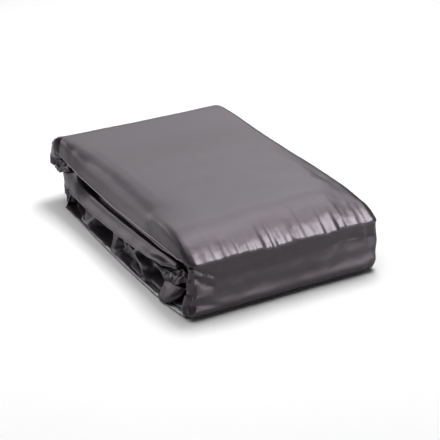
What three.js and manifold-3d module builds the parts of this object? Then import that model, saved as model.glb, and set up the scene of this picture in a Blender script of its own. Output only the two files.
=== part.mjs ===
// Infrared sauna blanket, folded for storage.
//
// Laid out flat the blanket is 1.8 m long and 0.85 m wide: two padded walls, joined along one side and
// at the foot, and closed with hook-and-loop tape along the other side. It is folded in half across
// its width, so the fold runs down the right side and all the free edges are on the left, and then in
// thirds along its length: the foot third goes in first, and the head third closes over it.
//
// Frame: millimetres, +X to the right, +Y to the back, +Z up, origin on the floor under the middle.
//
// Every layer is drawn as it lies when the blanket is flat, as a C-shaped section in (x, v), where v
// is the distance from the pad's middle surface, and is then folded along one path in the YZ plane
// that runs from the head end to the foot end. +v is the outside of the fold.

import * as THREE from 'three';
import { mergeVertices } from 'three/addons/utils/BufferGeometryUtils.js';
import Module from 'manifold-3d';

// ---------------------------------------------------------------- driving dimensions

const WIDTH = 424; // folded, across X
const LENGTH = 640; // folded, along Y
const LAYER_GAP = 0.3; // air between two layers of cloth
const THIRD_GAP = 1; // air between two thirds of the stack

const SHELL = 1.4; // coated outer cloth
const INSULATION = 6.6; // needled felt
const HEATER = 2.2; // carbon-fibre element between two films
const LINER = 1.2; // wipe-clean inner cloth

const FRONT_BEND_RADIUS = 28; // of the pad's middle surface, at the front top corner
const HEAD_DROP_RADIUS = 28; // of the same surface, where the head end hangs over the back
const BACK_SETBACK = 45; // from the drooping head end to the fold behind the lower two thirds
const HEAD_END_HEIGHT = 82; // of the head end above the floor
const FOOT_END_SETBACK = 72; // from the front of the stack to the layers' foot end

const SIDE_BEND_STEPS = 6;
const BACK_BEND_STEPS = 8;
const CORNER_STEPS = 3; // per half corner
const HEAD_DROP_STEPS = 6;

// ---------------------------------------------------------------- layers, from the outside in

const COLOURS = {
  shell: 0x7d787e,
  insulation: 0xd9d6cf,
  heater: 0x2b2b2e,
  liner: 0x34343a,
  tape: 0x1e1e20,
  binding: 0x6a656b,
  lead: 0x181818,
  plastic: 0x202022,
  metal: 0xb08d4a,
  sensor: 0x8a6f3a,
};
const ROUGHNESS = { shell: 0.35, liner: 0.4, plastic: 0.5, metal: 0.3 };

const LAYERS = [
  { name: 'outer_shell', thickness: SHELL, colour: 'shell' },
  { name: 'outer_insulation', thickness: INSULATION, colour: 'insulation' },
  { name: 'outer_heater', thickness: HEATER, colour: 'heater' },
  { name: 'outer_liner', thickness: LINER, colour: 'liner' },
  { name: 'inner_liner', thickness: LINER, colour: 'liner' },
  { name: 'inner_heater', thickness: HEATER, colour: 'heater' },
  { name: 'inner_insulation', thickness: INSULATION, colour: 'insulation' },
  { name: 'inner_shell', thickness: SHELL, colour: 'shell' },
];

const HALF = LAYERS.reduce((sum, layer) => sum + layer.thickness + LAYER_GAP, -LAYER_GAP / 2);
{
  let outside = HALF;
  for (const layer of LAYERS) {
    layer.outside = outside;
    layer.inside = outside - layer.thickness;
    outside = layer.inside - LAYER_GAP;
  }
}
const layerNamed = (name) => LAYERS.find((layer) => layer.name === name);

const HEIGHT = 6 * HALF + 2 * THIRD_GAP;
const LEFT = -WIDTH / 2;
const FRONT = -LENGTH / 2;
const BACK = LENGTH / 2;

const BINDING = 1.5; // cloth tape over the free edges
const EDGE = LEFT + BINDING + LAYER_GAP; // where the layers stop on the left
const TAPE_WIDTH = 25; // hook-and-loop tape
const LEAD_WIDTH = 8;
const LEAD_MARGIN = 12; // from the layers' left edge to the lead
const HEATER_MARGIN = 40; // unheated strip along the left edge

// ---------------------------------------------------------------- the fold path

const station = (y, z, ny, nz) => ({ y, z, ny, nz });

// Stations round an arc about (cy, cz), from one angle to another, in degrees from +Y towards +Z.
function arc(cy, cz, radius, from, to, steps, outward) {
  const made = [];
  for (let i = 0; i <= steps; i++) {
    const a = THREE.MathUtils.degToRad(from + ((to - from) * i) / steps);
    const [c, s] = [Math.cos(a), Math.sin(a)];
    made.push(station(cy + radius * c, cz + radius * s, outward * c, outward * s));
  }
  return made;
}

// The same station moved along the path, so that two bodies don't touch where they meet.
const moved = (at, dy, dz) => station(at.y + dy, at.z + dz, at.ny, at.nz);

const TOP_MIDDLE = HEIGHT - HALF; // height of the top third's middle surface
const CORNER_Y = FRONT + HALF + FRONT_BEND_RADIUS;
const CORNER_Z = TOP_MIDDLE - FRONT_BEND_RADIUS;
const DROP_Y = BACK - HALF - HEAD_DROP_RADIUS;
const DROP_Z = TOP_MIDDLE - HEAD_DROP_RADIUS;
const BACK_BEND_RADIUS = HALF + THIRD_GAP / 2;
const BACK_BEND_Y = BACK - BACK_SETBACK - HALF - BACK_BEND_RADIUS;
const BACK_BEND_Z = 2 * HALF + THIRD_GAP / 2;
const FOOT_Y = FRONT + FOOT_END_SETBACK;
const SPLIT = (0.5 * LAYER_GAP) / Math.SQRT2; // in Y and in Z, to open half a gap at 45 degrees

const headEnd = station(BACK - HALF, HEAD_END_HEIGHT, 1, 0);
const headDrop = arc(DROP_Y, DROP_Z, HEAD_DROP_RADIUS, 0, 90, HEAD_DROP_STEPS, 1);
const frontCorner = arc(CORNER_Y, CORNER_Z, FRONT_BEND_RADIUS, 90, 180, 2 * CORNER_STEPS, 1);
const bottomCorner = station(FRONT + HALF, HALF, -1, -1); // a mitre: the normal is a diagonal
const backBend = arc(BACK_BEND_Y, BACK_BEND_Z, BACK_BEND_RADIUS, -90, 90, BACK_BEND_STEPS, 1);
const footEnd = station(FOOT_Y, 3 * HALF + THIRD_GAP, 0, 1);

const cornerSplit = frontCorner[CORNER_STEPS];
const PATHS = {
  top: [
    headEnd,
    ...headDrop,
    ...frontCorner.slice(0, CORNER_STEPS),
    moved(cornerSplit, SPLIT, SPLIT),
  ],
  front: [
    moved(cornerSplit, -SPLIT, -SPLIT),
    ...frontCorner.slice(CORNER_STEPS + 1),
    moved(bottomCorner, 0, 2 * SPLIT),
  ],
  lower: [moved(bottomCorner, 2 * SPLIT, 0), ...backBend, footEnd],
};
// The heaters stop short of the head end, where the top third starts to hang over.
const HEATED_PATHS = { ...PATHS, top: PATHS.top.slice(1 + HEAD_DROP_STEPS) };

// ---------------------------------------------------------------- solids

const wasm = await Module();
wasm.setup();

function solidOf(geometry) {
  const bare = geometry.clone();
  bare.deleteAttribute('normal');
  bare.deleteAttribute('uv');
  const merged = mergeVertices(bare, 1e-4);
  return new wasm.Manifold(
    new wasm.Mesh({
      numProp: 3,
      vertProperties: merged.attributes.position.array,
      triVerts: new Uint32Array(merged.index.array),
    }),
  );
}

function geometryOf(solid) {
  const mesh = solid.getMesh();
  const geometry = new THREE.BufferGeometry();
  geometry.setAttribute('position', new THREE.BufferAttribute(mesh.vertProperties, 3));
  geometry.setIndex(new THREE.BufferAttribute(mesh.triVerts, 1));
  geometry.computeVertexNormals();
  return geometry;
}

const cut = (a, b) => geometryOf(solidOf(a).subtract(solidOf(b)));
const join = (a, b) => geometryOf(solidOf(a).add(solidOf(b)));

// A flat section in (x, v), folded along the stations.
function fold(section, stations) {
  const steps = stations.length - 1;
  const geometry = new THREE.ExtrudeGeometry(section, { depth: steps, steps, bevelEnabled: false });
  const at = geometry.attributes.position;
  for (let i = 0; i < at.count; i++) {
    const [x, v, s] = [at.getX(i), at.getY(i), stations[Math.round(at.getZ(i))]];
    at.setXYZ(i, x, s.y + v * s.ny, s.z + v * s.nz);
  }
  geometry.computeVertexNormals();
  return geometry;
}

// A wall folded in half round the right side: a C, open on the left, between two distances from v = 0.
function cSection(left, outside, inside) {
  const centre = WIDTH / 2 - HALF;
  const shape = new THREE.Shape();
  shape.moveTo(left, -outside);
  for (let i = 0; i <= SIDE_BEND_STEPS; i++) {
    const a = Math.PI * (i / SIDE_BEND_STEPS - 0.5);
    shape.lineTo(centre + outside * Math.cos(a), outside * Math.sin(a));
  }
  shape.lineTo(left, outside);
  shape.lineTo(left, inside);
  for (let i = SIDE_BEND_STEPS; i >= 0; i--) {
    const a = Math.PI * (i / SIDE_BEND_STEPS - 0.5);
    shape.lineTo(centre + inside * Math.cos(a), inside * Math.sin(a));
  }
  shape.lineTo(left, -inside);
  return shape;
}

function rectangle(x0, x1, v0, v1) {
  const shape = new THREE.Shape();
  shape.moveTo(x0, v0);
  shape.lineTo(x1, v0);
  shape.lineTo(x1, v1);
  shape.lineTo(x0, v1);
  return shape;
}

function box(x0, x1, y0, y1, z0, z1) {
  const geometry = new THREE.BoxGeometry(x1 - x0, y1 - y0, z1 - z0);
  return geometry.translate((x0 + x1) / 2, (y0 + y1) / 2, (z0 + z1) / 2);
}

const root = new THREE.Group();

function add(name, geometry, colour) {
  const material = new THREE.MeshStandardMaterial({
    color: COLOURS[colour],
    roughness: ROUGHNESS[colour] ?? 0.8,
    metalness: colour === 'metal' ? 1 : 0,
  });
  const mesh = new THREE.Mesh(geometry, material);
  mesh.name = name;
  root.add(mesh);
}

// ---------------------------------------------------------------- temperature sensors and cut-outs

const SENSOR_LENGTH = 14;
const SENSOR_RADIUS = 1.9;
const CUTOUT = { x: 20, y: 8, v: 3.8 };
const POCKET_CLEARANCE = 0.4;
const FELT = layerNamed('outer_insulation');
// One pair in each heating zone, against the heater in the felt of the outer wall, on a flat stretch.
const ZONES = [
  { name: 'head_zone', body: 'top', y: -40, middle: TOP_MIDDLE },
  { name: 'foot_zone', body: 'lower', y: 60, middle: footEnd.z },
];
const SENSOR_X = -60;
const CUTOUT_X = 10;

function pocket(zone, x, sx, sy, sv) {
  const c = POCKET_CLEARANCE;
  const z0 = zone.middle + FELT.inside;
  const [hx, hy] = [sx / 2 + c, sy / 2 + c];
  return box(x - hx, x + hx, zone.y - hy, zone.y + hy, z0 - 1, z0 + sv + 2 * c);
}

function withPockets(geometry, body) {
  let made = geometry;
  for (const zone of ZONES.filter((z) => z.body === body)) {
    made = cut(made, pocket(zone, SENSOR_X, SENSOR_LENGTH, 2 * SENSOR_RADIUS, 2 * SENSOR_RADIUS));
    made = cut(made, pocket(zone, CUTOUT_X, CUTOUT.x, CUTOUT.y, CUTOUT.v));
  }
  return made;
}

function addZone(zone) {
  const lift = zone.middle + FELT.inside + POCKET_CLEARANCE;
  const bead = new THREE.CylinderGeometry(SENSOR_RADIUS, SENSOR_RADIUS, SENSOR_LENGTH, 10);
  bead.rotateZ(Math.PI / 2).translate(SENSOR_X, zone.y, lift + SENSOR_RADIUS);
  add(`${zone.name}_sensor`, bead, 'sensor');
  const [hx, hy] = [CUTOUT.x / 2, CUTOUT.y / 2];
  const can = box(CUTOUT_X - hx, CUTOUT_X + hx, zone.y - hy, zone.y + hy, lift, lift + CUTOUT.v);
  add(`${zone.name}_thermal_cutout`, can, 'plastic');
}

// ---------------------------------------------------------------- layers, tapes, bindings and lead

const HEATER_LAYER = layerNamed('outer_heater');
const OUTER_LINER = layerNamed('outer_liner');
const INNER_LINER = layerNamed('inner_liner');
const TAPE_END = EDGE + TAPE_WIDTH;

function leftEdgeOf(layer) {
  if (layer.colour === 'heater') return EDGE + HEATER_MARGIN;
  if (layer.colour === 'liner') return TAPE_END + LAYER_GAP;
  return EDGE;
}

// The strips along the left side, as [name, section, colour]. The side joined by the blanket's own
// cloth is on the outside of the fold, and the side closed with tape is on the inside.
const STRIPS = [
  ['side_gusset', rectangle(LEFT, LEFT + BINDING, LAYER_GAP, HALF), 'shell'],
  [
    'outer_wall_binding',
    rectangle(LEFT, LEFT + BINDING, -HALF, -OUTER_LINER.inside - LAYER_GAP / 2),
    'binding',
  ],
  [
    'inner_wall_binding',
    rectangle(LEFT, LEFT + BINDING, -INNER_LINER.outside + LAYER_GAP / 2, -LAYER_GAP),
    'binding',
  ],
  ['hook_tape', rectangle(EDGE, TAPE_END, -OUTER_LINER.outside, -OUTER_LINER.inside), 'tape'],
  ['loop_tape', rectangle(EDGE, TAPE_END, -INNER_LINER.outside, -INNER_LINER.inside), 'tape'],
];
const LEAD_X = EDGE + LEAD_MARGIN;
const LEAD_SECTION = rectangle(
  LEAD_X,
  LEAD_X + LEAD_WIDTH,
  HEATER_LAYER.inside,
  HEATER_LAYER.outside,
);

const FOOT_PANEL = SHELL;
const DUCT = 6; // between the layers' foot end and the foot panel, for the lead
const DUCT_FRONT = FOOT_Y - DUCT;
const INLETS = [
  { name: 'head_zone_inlet', x: -130 },
  { name: 'foot_zone_inlet', x: -80 },
];
const INLET_Z = footEnd.z + 4;
const LEAD_Z = footEnd.z + HEATER_LAYER.inside + HEATER / 2;

// The lead's run along the foot end: out of the layers, down the duct and across behind the inlets.
function leadCrossRun() {
  const half = HEATER / 2;
  const [y0, y1] = [DUCT_FRONT + 1, FOOT_Y - 1];
  const x2 = LEAD_X + LEAD_WIDTH;
  const out = box(LEAD_X, x2, y0, FOOT_Y + 1, LEAD_Z - half, LEAD_Z + half);
  const down = box(LEAD_X, x2, y0, y1, INLET_Z - half, LEAD_Z + half);
  const across = box(LEAD_X, INLETS[1].x + LEAD_WIDTH, y0, y1, INLET_Z - half, INLET_Z + half);
  return join(join(out, down), across);
}

for (const body of ['top', 'front', 'lower']) {
  for (const layer of LAYERS) {
    const section = cSection(leftEdgeOf(layer), layer.outside, layer.inside);
    const paths = layer.colour === 'heater' ? HEATED_PATHS : PATHS;
    const sheet = fold(section, paths[body]);
    const made = layer === FELT ? withPockets(sheet, body) : sheet;
    add(`${body}_${layer.name}`, made, layer.colour);
  }
  for (const [name, section, colour] of STRIPS) {
    add(`${body}_${name}`, fold(section, PATHS[body]), colour);
  }
  const run = fold(LEAD_SECTION, HEATED_PATHS[body]);
  add(`${body}_lead`, body === 'lower' ? join(run, leadCrossRun()) : run, 'lead');
}
ZONES.forEach(addZone);

// ---------------------------------------------------------------- the two ends

// Cloth tape over the edges of the neck opening, just below the head end.
const HEAD_BINDING = 3;
const headTape = [
  moved(headEnd, 0, -LAYER_GAP - HEAD_BINDING),
  moved(headEnd, 0, -LAYER_GAP),
];
add(
  'head_outer_binding',
  fold(cSection(LEFT, HALF, OUTER_LINER.inside - LAYER_GAP / 4), headTape),
  'binding',
);
add(
  'head_inner_binding',
  fold(cSection(LEFT, INNER_LINER.outside + LAYER_GAP / 4, LAYER_GAP), headTape),
  'binding',
);

// Shell cloth across the foot end, with a hole behind each inlet.
const STUB_RADIUS = 4;
const FLANGE_RADIUS = 11;
const RIM_RADIUS = 9;
const SOCKET_RADIUS = 7;
const SOCKET_DEPTH = 10;
const FLANGE = 1.5;
const INLET_SIDES = 24;

function footPanel() {
  const [z0, z1] = [footEnd.z - HALF, footEnd.z + HALF];
  const [y0, y1] = [DUCT_FRONT - FOOT_PANEL, DUCT_FRONT];
  let panel = box(LEFT, WIDTH / 2 - HALF, y0, y1, z0, z1);
  for (const inlet of INLETS) {
    const r = STUB_RADIUS + LAYER_GAP;
    const hole = new THREE.CylinderGeometry(r, r, 3 * FOOT_PANEL, INLET_SIDES);
    panel = cut(panel, hole.translate(inlet.x, (y0 + y1) / 2, INLET_Z));
  }
  return panel;
}
add('lower_foot_panel', footPanel(), 'shell');

// A flanged socket, screwed through the foot panel: its stub goes through the panel to the lead.
function inletHousing(inlet) {
  const seat = DUCT_FRONT - FOOT_PANEL - LAYER_GAP;
  const stub = FOOT_PANEL + 2 * LAYER_GAP;
  const rim = FLANGE + SOCKET_DEPTH;
  const profile = [
    [0, -FLANGE],
    [SOCKET_RADIUS, -FLANGE],
    [SOCKET_RADIUS, -rim],
    [RIM_RADIUS, -rim],
    [RIM_RADIUS, -FLANGE],
    [FLANGE_RADIUS, -FLANGE],
    [FLANGE_RADIUS, 0],
    [STUB_RADIUS, 0],
    [STUB_RADIUS, stub],
    [0, stub],
  ].map(([r, d]) => new THREE.Vector2(r, d));
  return new THREE.LatheGeometry(profile, INLET_SIDES).translate(inlet.x, seat, INLET_Z);
}

const PIN_RADIUS = 1;
const PIN_CIRCLE = 3.4;
const PIN_LENGTH = 4;
const CARRIER = 1;

// Three contact pins on a round carrier at the bottom of the socket.
function contactPins(inlet) {
  const seat = DUCT_FRONT - FOOT_PANEL - 2 * LAYER_GAP - FLANGE;
  const carrierRadius = SOCKET_RADIUS - LAYER_GAP;
  let made = new THREE.CylinderGeometry(carrierRadius, carrierRadius, CARRIER, INLET_SIDES);
  made.translate(inlet.x, seat - CARRIER / 2, INLET_Z);
  for (let i = 0; i < 3; i++) {
    const a = (2 * Math.PI * i) / 3 + Math.PI / 2;
    const pin = new THREE.CylinderGeometry(PIN_RADIUS, PIN_RADIUS, PIN_LENGTH, 8);
    pin.translate(
      inlet.x + PIN_CIRCLE * Math.cos(a),
      seat - PIN_LENGTH / 2 - CARRIER / 2,
      INLET_Z + PIN_CIRCLE * Math.sin(a),
    );
    made = join(made, pin);
  }
  return made;
}

for (const inlet of INLETS) {
  add(inlet.name, inletHousing(inlet), 'plastic');
  add(`${inlet.name}_pins`, contactPins(inlet), 'metal');
}

export default root;
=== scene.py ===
# Infrared sauna blanket, folded for storage: its looks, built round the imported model.
#
# The pads are drawn as the CAD draws them. A section in (x, v), where v is the distance from the pad's
# middle surface, is carried along a path in the YZ plane, and +v is the outside of the fold.

import math

import bmesh
import bpy
import numpy as np
from mathutils import Matrix, Vector, noise
from mathutils.geometry import delaunay_2d_cdt


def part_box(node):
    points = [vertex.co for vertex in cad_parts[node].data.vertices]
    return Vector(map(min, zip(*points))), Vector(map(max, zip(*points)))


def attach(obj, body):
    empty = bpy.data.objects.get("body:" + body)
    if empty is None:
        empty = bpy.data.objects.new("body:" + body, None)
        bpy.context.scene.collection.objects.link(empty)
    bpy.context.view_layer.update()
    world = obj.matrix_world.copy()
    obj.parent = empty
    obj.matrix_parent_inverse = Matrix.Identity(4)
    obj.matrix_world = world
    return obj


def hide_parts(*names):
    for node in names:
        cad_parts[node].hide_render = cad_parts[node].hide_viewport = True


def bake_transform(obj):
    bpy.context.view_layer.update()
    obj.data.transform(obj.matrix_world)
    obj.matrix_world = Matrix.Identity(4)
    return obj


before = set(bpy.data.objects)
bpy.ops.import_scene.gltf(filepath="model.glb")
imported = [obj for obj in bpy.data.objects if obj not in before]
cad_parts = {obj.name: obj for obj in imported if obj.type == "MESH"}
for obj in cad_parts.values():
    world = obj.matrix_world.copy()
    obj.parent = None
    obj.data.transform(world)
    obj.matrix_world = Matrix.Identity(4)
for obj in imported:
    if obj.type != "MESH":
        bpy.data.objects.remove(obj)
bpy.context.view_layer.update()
MM = 0.001

# ---- places, from the frame

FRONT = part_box("front_outer_shell")[0].y
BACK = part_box("top_outer_shell")[1].y
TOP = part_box("top_outer_shell")[1].z
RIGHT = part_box("lower_outer_shell")[1].x
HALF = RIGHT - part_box("lower_foot_panel")[1].x  # half a pad's thickness
STACK_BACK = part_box("lower_outer_shell")[1].y
HEAD_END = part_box("head_outer_binding")[1].z

TOP_MIDDLE = TOP - HALF
THIRD_GAP = (TOP - 6 * HALF) / 2
MIDDLE_THIRD = 3 * HALF + THIRD_GAP
CORNER_RADIUS = 28 * MM
DROP_RADIUS = 28 * MM
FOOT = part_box("lower_foot_panel")[1].y + 6 * MM
BEND_RADIUS = HALF + THIRD_GAP / 2
BEND_Y = STACK_BACK - HALF - BEND_RADIUS
BEND_Z = 2 * HALF + THIRD_GAP / 2
SEAM = 8 * MM  # height of the seam between the two covers, on the front
MITRE_RUN = 36 * MM  # length over which the sections next to it turn square again
CLEAR = 0.3 * MM  # the cloth's least height over the floor

# ---- camera

AZIMUTH, ELEVATION = math.radians(-29.66), math.radians(26.11)
DISTANCE = 2.922
LENS = 114.5
AIM = Vector((-7 * MM, -20 * MM, 70 * MM))
AIM_RIGHT, AIM_UP = 26.8 * MM, -30.2 * MM  # the picture's middle, from AIM


def link(name, data):
    made = bpy.data.objects.new(name, data)
    bpy.context.collection.objects.link(made)
    return made


def make_camera():
    a, e = AZIMUTH, ELEVATION
    back = Vector((math.sin(a) * math.cos(e), -math.cos(a) * math.cos(e), math.sin(e)))
    right = Vector((math.cos(a), math.sin(a), 0))
    up = back.cross(right)
    data = bpy.data.cameras.new("camera")
    data.lens = LENS
    camera = link("camera", data)
    camera.location = AIM + right * AIM_RIGHT + up * AIM_UP + back * DISTANCE
    camera.rotation_mode = "QUATERNION"
    camera.rotation_quaternion = (-back).to_track_quat("-Z", "Y")
    bpy.context.scene.camera = camera


make_camera()


# ---- mesh tools


def smoothstep(a, b, t):
    t = np.clip((np.asarray(t, float) - a) / (b - a), 0, 1)
    return t * t * (3 - 2 * t)


def unit(vectors):
    return vectors / np.maximum(np.linalg.norm(vectors, axis=-1, keepdims=True), 1e-9)


def lengths(points):
    """The length along a line of points, up to each of them."""
    return np.concatenate([[0], np.cumsum(np.linalg.norm(np.diff(points, axis=0), axis=1))])


def make_object(name, points, faces, material, uv=None):
    mesh = bpy.data.meshes.new(name)
    mesh.from_pydata([tuple(p) for p in points], [], faces)
    mesh.validate()
    if uv is not None:
        layer = mesh.uv_layers.new(name="UVMap")
        corners = np.zeros(len(mesh.loops), np.int32)
        mesh.loops.foreach_get("vertex_index", corners)
        layer.data.foreach_set("uv", np.asarray(uv, np.float32)[corners].ravel())
    mesh.polygons.foreach_set("use_smooth", [True] * len(mesh.polygons))
    mesh.materials.append(material)
    mesh.update()
    return link(name, mesh)


def tube_faces(rings, count, cap=None):
    """Quads between closed rings of count points. cap(count) pairs a ring's points to close the ends."""
    faces = []
    for i in range(rings - 1):
        a, b = i * count, (i + 1) * count
        for j in range(count):
            k = (j + 1) % count
            faces.append((a + j, a + k, b + k, b + j))
    if cap:
        last = (rings - 1) * count
        for a, b, c, d in cap(count):
            faces.append((d, c, b, a))
            faces.append((last + a, last + b, last + c, last + d))
    return faces


def lids(rings, count):
    """Two faces that close the ends of a tube."""
    last = (rings - 1) * count
    return [tuple(range(count))[::-1], tuple(range(last, last + count))]


def catmull(points, per_span):
    """A smooth curve through points (..., n, 2), with per_span points for each span, and the last point."""
    p = np.asarray(points, float)
    p = np.concatenate([2 * p[..., :1, :] - p[..., 1:2, :], p, 2 * p[..., -1:, :] - p[..., -2:-1, :]], -2)
    out = []
    for i in range(p.shape[-2] - 3):
        a, b, c, d = (p[..., i + k, :] for k in range(4))
        square, cube = 2 * a - 5 * b + 4 * c - d, 3 * b - a - 3 * c + d
        for t in np.linspace(0, 1, per_span, endpoint=False):
            out.append(0.5 * (2 * b + (c - a) * t + square * t**2 + cube * t**3))
    out.append(p[..., -2, :])
    return np.stack(out, -2)


def fractal(points, scale, offset, falloff, step):
    """Blender's fractal noise, in three octaves, with features of about scale."""
    places = (Vector(point) / scale + Vector(offset) for point in points)
    return np.array([noise.fractal(p, falloff, step, 3, noise_basis="PERLIN_ORIGINAL") for p in places])


def wander(points, scale, seed):
    """Smooth noise at points in metres, about -1 to 1."""
    return fractal(points, scale, (seed * 7.31, seed * 3.17, seed * 5.77), 1.0, 2.0)


def creased(points, scale, seed):
    """Noise like crumpled cloth: flat facets with sharp ridges between them, about 0 to 1."""
    ridges = fractal(points, scale, (seed * 4.13, seed * 9.71, seed * 2.39), 0.9, 2.1)
    return 1 - np.minimum(1, np.abs(ridges) * 2.2)


def wave(values, seed):
    """Smooth noise along a line, at values that are lengths over the noise's own scale."""
    return np.array([noise.noise(Vector((v, *seed))) for v in np.ravel(values)]).reshape(np.shape(values))


# ---- paths


class Path:
    """Stations along a fold: places (y, z) and outward normals. end() adds the length so far."""

    def __init__(self):
        self.place, self.normal = [], []

    def line(self, start, end, normal, steps):
        return self.fan(start, normal, end, normal, steps)

    def arc(self, centre, radius, start, end, steps):
        for t in np.linspace(0, 1, steps, endpoint=False):
            angle = math.radians(start + (end - start) * t)
            c, s = math.cos(angle), math.sin(angle)
            self.place.append((centre[0] + radius * c, centre[1] + radius * s))
            self.normal.append((c, s))
        return self

    def fan(self, start, start_normal, end, end_normal, steps):
        """Straight stations whose section planes turn from a mitre to square, or back."""
        for t in np.linspace(0, 1, steps, endpoint=False):
            self.place.append((start[0] + (end[0] - start[0]) * t, start[1] + (end[1] - start[1]) * t))
            self.normal.append(tuple(p + (q - p) * t for p, q in zip(start_normal, end_normal)))
        return self

    def end(self, place, normal):
        self.place = np.array([*self.place, place], float)
        self.normal = np.array([*self.normal, normal], float)
        self.length = lengths(self.place)
        return self


front_y = FRONT + HALF
corner = (FRONT + HALF + CORNER_RADIUS, TOP_MIDDLE - CORNER_RADIUS)
drop = (BACK - HALF - DROP_RADIUS, TOP_MIDDLE - DROP_RADIUS)
fine_end = corner[0] + 0.12  # the top has closer stations up to here
head_end = (BACK - HALF, HEAD_END + 4 * MM)
MITRE = (-1, -1)  # the two covers meet on a slanting plane, just above the bottom front edge

upper_path = (
    Path()
    .fan((front_y, HALF + SEAM), MITRE, (front_y, HALF + SEAM + MITRE_RUN), (-1, 0), 12)
    .line((front_y, HALF + SEAM + MITRE_RUN), (front_y, corner[1]), (-1, 0), 10)
    .arc(corner, CORNER_RADIUS, 180, 90, 46)
    .line((corner[0], TOP_MIDDLE), (fine_end, TOP_MIDDLE), (0, 1), 56)
    .line((fine_end, TOP_MIDDLE), (drop[0], TOP_MIDDLE), (0, 1), 84)
    .arc(drop, DROP_RADIUS, 90, 0, 50)
    .line((BACK - HALF, drop[1]), head_end, (1, 0), 6)
    .end(head_end, (1, 0))
)
lower_path = (
    Path()
    .fan((front_y, HALF + SEAM), MITRE, (front_y + MITRE_RUN, HALF), (0, -1), 18)
    .line((front_y + MITRE_RUN, HALF), (BEND_Y, HALF), (0, -1), 130)
    .arc((BEND_Y, BEND_Z), BEND_RADIUS, -90, 90, 40)
    .line((BEND_Y, MIDDLE_THIRD), (FOOT, MIDDLE_THIRD), (0, 1), 120)
    .end((FOOT, MIDDLE_THIRD), (0, 1))
)

# ---- sections

# A ring's points go over the outer face, round the right bend, back under, and up the left edge.
FLAT_POINTS = 100
BEND_POINTS = 18
PER_SPAN = 4

# Left edges of a pad: points (x, v) in mm, from its outer face round to its inner face.
EDGE_POINTS, HEM = 14, 6  # how many, and which of them is the hem
FACE = 25  # v of the outer face
HEM_INDEX = 2 * FLAT_POINTS + BEND_POINTS + (EDGE_POINTS - 1 - HEM) * PER_SPAN - 1  # the hem's place in a ring


def band(hem, spread, reach=-213.3):
    """The outer cloth comes over a soft rim and slopes down to a hem. spread gives the rim's five places:
    x, and the share of the height from the hem to the rim."""
    height = FACE - hem
    lift = min(9, 0.35 * height)
    outside = [(x, hem + share * height) for x, share in spread]
    return outside + [
        (reach + 0.8, hem + min(3.5, 0.2 * height)),
        (reach, hem + 0.3),
        (reach + 2.1, hem + 0.8),
        (reach + 5.3, hem + 0.45 * lift),
        (reach + 10, hem + 0.8 * lift),
        (reach + 17, max(hem + 0.9 * lift, -17)),
        (reach + 26, max(hem + 0.4 * lift, -20)),
        (reach + 34, max(hem - 0.5 * lift, -23)),
        (reach + 48, -24.6),
    ]


TOP_RIM = ((-158, 0.99), (-179, 0.94), (-191.5, 0.82), (-200.5, 0.6), (-207.5, 0.3))
TOP_BACK_RIM = ((-160, 1.0), (-188, 0.99), (-202, 0.93), (-208.5, 0.72), (-211, 0.36))
MIDDLE_RIM = ((-150, 0.95), (-166, 0.48), (-182, 0.2), (-195, 0.44), (-203, 0.25))
# POCKET, POCKET_END and SLIT are on the hanging end, the SPINEs on the front, BEHIND on the back bend.
POCKET = [
    (-160, 25), (-188, 25.6), (-203, 25.8), (-211, 23.5), (-215.5, 17), (-216.5, 7), (-215, -3),
    (-212, -10), (-208, -15), (-203, -18), (-197, -20), (-190, -22), (-181, -24), (-166, -24.6),
]
POCKET_END = [
    (-160, 25), (-188, 25.6), (-203, 25.8), (-211, 24.5), (-215, 21.5), (-215.5, 17), (-213, 12),
    (-207, 8), (-198, 3), (-188, -4), (-180, -11), (-174, -17), (-168, -22), (-160, -24.6),
]
SLIT = [
    (-160, 25), (-184, 25), (-196, 24.6), (-201, 22), (-198, 16), (-190, 10), (-186, 0),
    (-185, -9), (-185, -15), (-185, -19), (-184, -22), (-183, -23), (-178, -24), (-166, -24.6),
]
SPINE = [
    (-160, 25), (-192, 25), (-200, 24.6), (-204.5, 22.5), (-206.5, 19), (-207, 15), (-205.5, 12.5),
    (-202, 11.2), (-194, 10.6), (-180, 9), (-168, 4), (-160, -5), (-156, -15), (-154, -24.6),
]
SPINE_LOW = [
    (-160, 25), (-194, 25), (-204, 24), (-209, 21), (-211, 17), (-211, 13), (-209, 10.5),
    (-205, 9.5), (-196, 9), (-182, 8), (-170, 3), (-162, -6), (-157, -15), (-154, -24.6),
]
BEND_RIM = ((-160, 1.0), (-183, 0.97), (-198, 0.87), (-206, 0.67), (-211, 0.36))
BOTTOM_EDGE = [
    (-160, 25), (-190, 25), (-201, 24.4), (-206, 23), (-209, 20.5), (-209.5, 17.5), (-208, 15),
    (-204, 13), (-196, 11), (-184, 8), (-173, 2), (-165, -7), (-160, -16), (-157, -24.6),
]
BOTTOM = [
    (-160, 25), (-190, 25), (-204, 24.95), (-209.5, 24.7), (-212.2, 24), (-212.5, 22.8), (-211, 22),
    (-205, 21.8), (-197, 21.5), (-186, 19), (-175, 13), (-169, 3), (-166, -10), (-164, -24.6),
]
BOTTOM_BULGED = [(x - (5 if x < -195 else 2), v) for x, v in BOTTOM]
BEHIND = [
    (-160, 25), (-186, 25), (-197, 23.6), (-204, 20), (-207.5, 14), (-208, 6), (-207, -1),
    (-204, -6), (-199, -10), (-193, -14), (-186, -18), (-180, -21), (-172, -23), (-164, -24.6),
]


def blend_keys(keys, length):
    """Left edges at each length, from a list of (length, outline), easing from one to the next."""
    places = np.array([k[0] for k in keys])
    outlines = np.array([k[1] for k in keys], float)
    i = np.clip(np.searchsorted(places, length) - 1, 0, len(keys) - 2)
    t = smoothstep(0, 1, (length - places[i]) / (places[i + 1] - places[i]))
    return outlines[i] * (1 - t)[:, None, None] + outlines[i + 1] * t[:, None, None]


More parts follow.
